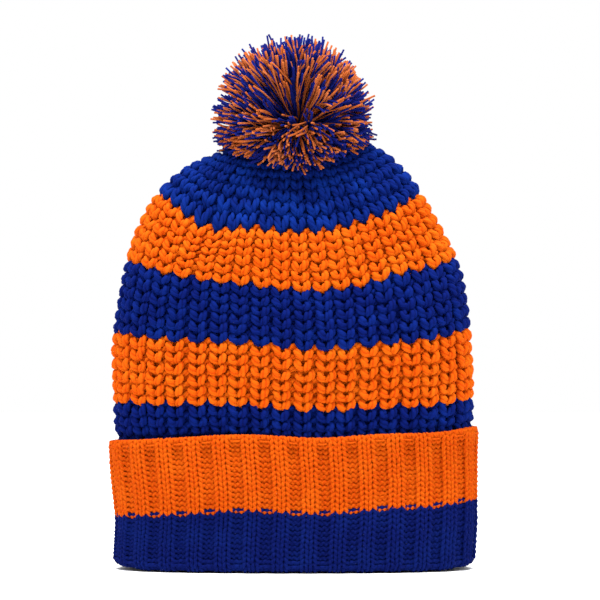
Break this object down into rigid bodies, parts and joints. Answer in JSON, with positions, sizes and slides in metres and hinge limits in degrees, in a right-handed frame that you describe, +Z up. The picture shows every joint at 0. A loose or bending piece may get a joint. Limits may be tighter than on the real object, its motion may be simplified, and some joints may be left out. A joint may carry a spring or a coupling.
{
  "type": "pom pom beanie",
  "caption": "Chunky knitted beanie with wide two-colour stripes, a turned-up rib band and a yarn pom pom tied to its gathered crown.",
  "frame": {"origin": "middle of the rim, on the surface that the hat stands on", "axes": "+Z up through the crown and the pom, +X to the wearer's left across the width of the hat, -Y to the front, the back seam on the +Y side"},
  "size_m": [0.225, 0.0984, 0.327],
  "materials": {
    "body_yarn_blue": "chunky rib knit of royal blue acrylic yarn, matt with a soft sheen",
    "body_yarn_orange": "chunky rib knit of bright orange acrylic yarn, matt with a soft sheen",
    "band_yarn_blue": "fine two by two rib of royal blue acrylic yarn, matt",
    "band_yarn_orange": "fine two by two rib of bright orange acrylic yarn, matt",
    "pom_yarn_blue": "cut strands of twisted royal blue acrylic yarn",
    "pom_yarn_orange": "cut strands of twisted bright orange acrylic yarn",
    "tie_yarn": "twisted dark blue yarn, matt"
  },
  "bodies": {
    "hat": {"crown_stripe_blue": "body_yarn_blue", "upper_stripe_orange": "body_yarn_orange", "middle_stripe_blue": "body_yarn_blue", "lower_stripe_orange": "body_yarn_orange", "base_stripe_blue": "body_yarn_blue", "band_linking_seam": "tie_yarn", "inner_band_blue": "band_yarn_blue", "cuff_fold_blue": "band_yarn_blue", "cuff_band_blue": "band_yarn_blue", "cuff_band_orange": "band_yarn_orange", "cuff_cast_on_edge": "band_yarn_orange", "crown_gather_yarn": "tie_yarn", "back_seam_body": "tie_yarn", "back_seam_band": "tie_yarn"},
    "tie_knot": {"pom_tie_knot": "tie_yarn"},
    "tie_neck": {"pom_tie_neck": "tie_yarn"},
    "pom": {"pom_core": "tie_yarn", "pom_binding": "tie_yarn", "pom_lock_low_1_orange": "pom_yarn_orange", "pom_lock_low_2_blue": "pom_yarn_blue", "pom_lock_low_3_orange": "pom_yarn_orange", "pom_lock_low_4_blue": "pom_yarn_blue", "pom_lock_low_5_orange": "pom_yarn_orange", "pom_lock_low_6_blue": "pom_yarn_blue", "pom_lock_low_7_orange": "pom_yarn_orange", "pom_lock_low_8_blue": "pom_yarn_blue", "pom_lock_low_9_orange": "pom_yarn_orange", "pom_lock_low_10_blue": "pom_yarn_blue", "pom_lock_high_1_orange": "pom_yarn_orange", "pom_lock_high_2_blue": "pom_yarn_blue", "pom_lock_high_3_orange": "pom_yarn_orange", "pom_lock_high_4_blue": "pom_yarn_blue", "pom_lock_high_5_orange": "pom_yarn_orange", "pom_lock_high_6_blue": "pom_yarn_blue", "pom_lock_top_1_orange": "pom_yarn_orange"}
  },
  "joints": [
    {"name": "pom_turn", "type": "hinge", "parent": "hat", "child": "tie_knot", "pos_m": [0, 0, 0.255], "axis": [0, 0, 1], "range_deg": [-45, 45], "stiffness_Nm_per_rad": 0.01},
    {"name": "pom_nod", "type": "hinge", "parent": "tie_knot", "child": "tie_neck", "pos_m": [0, 0, 0.255], "axis": [1, 0, 0], "range_deg": [-15, 15], "stiffness_Nm_per_rad": 0.06},
    {"name": "pom_sway", "type": "hinge", "parent": "tie_neck", "child": "pom", "pos_m": [0, 0, 0.255], "axis": [0, 1, 0], "range_deg": [-15, 15], "stiffness_Nm_per_rad": 0.06}
  ]
}
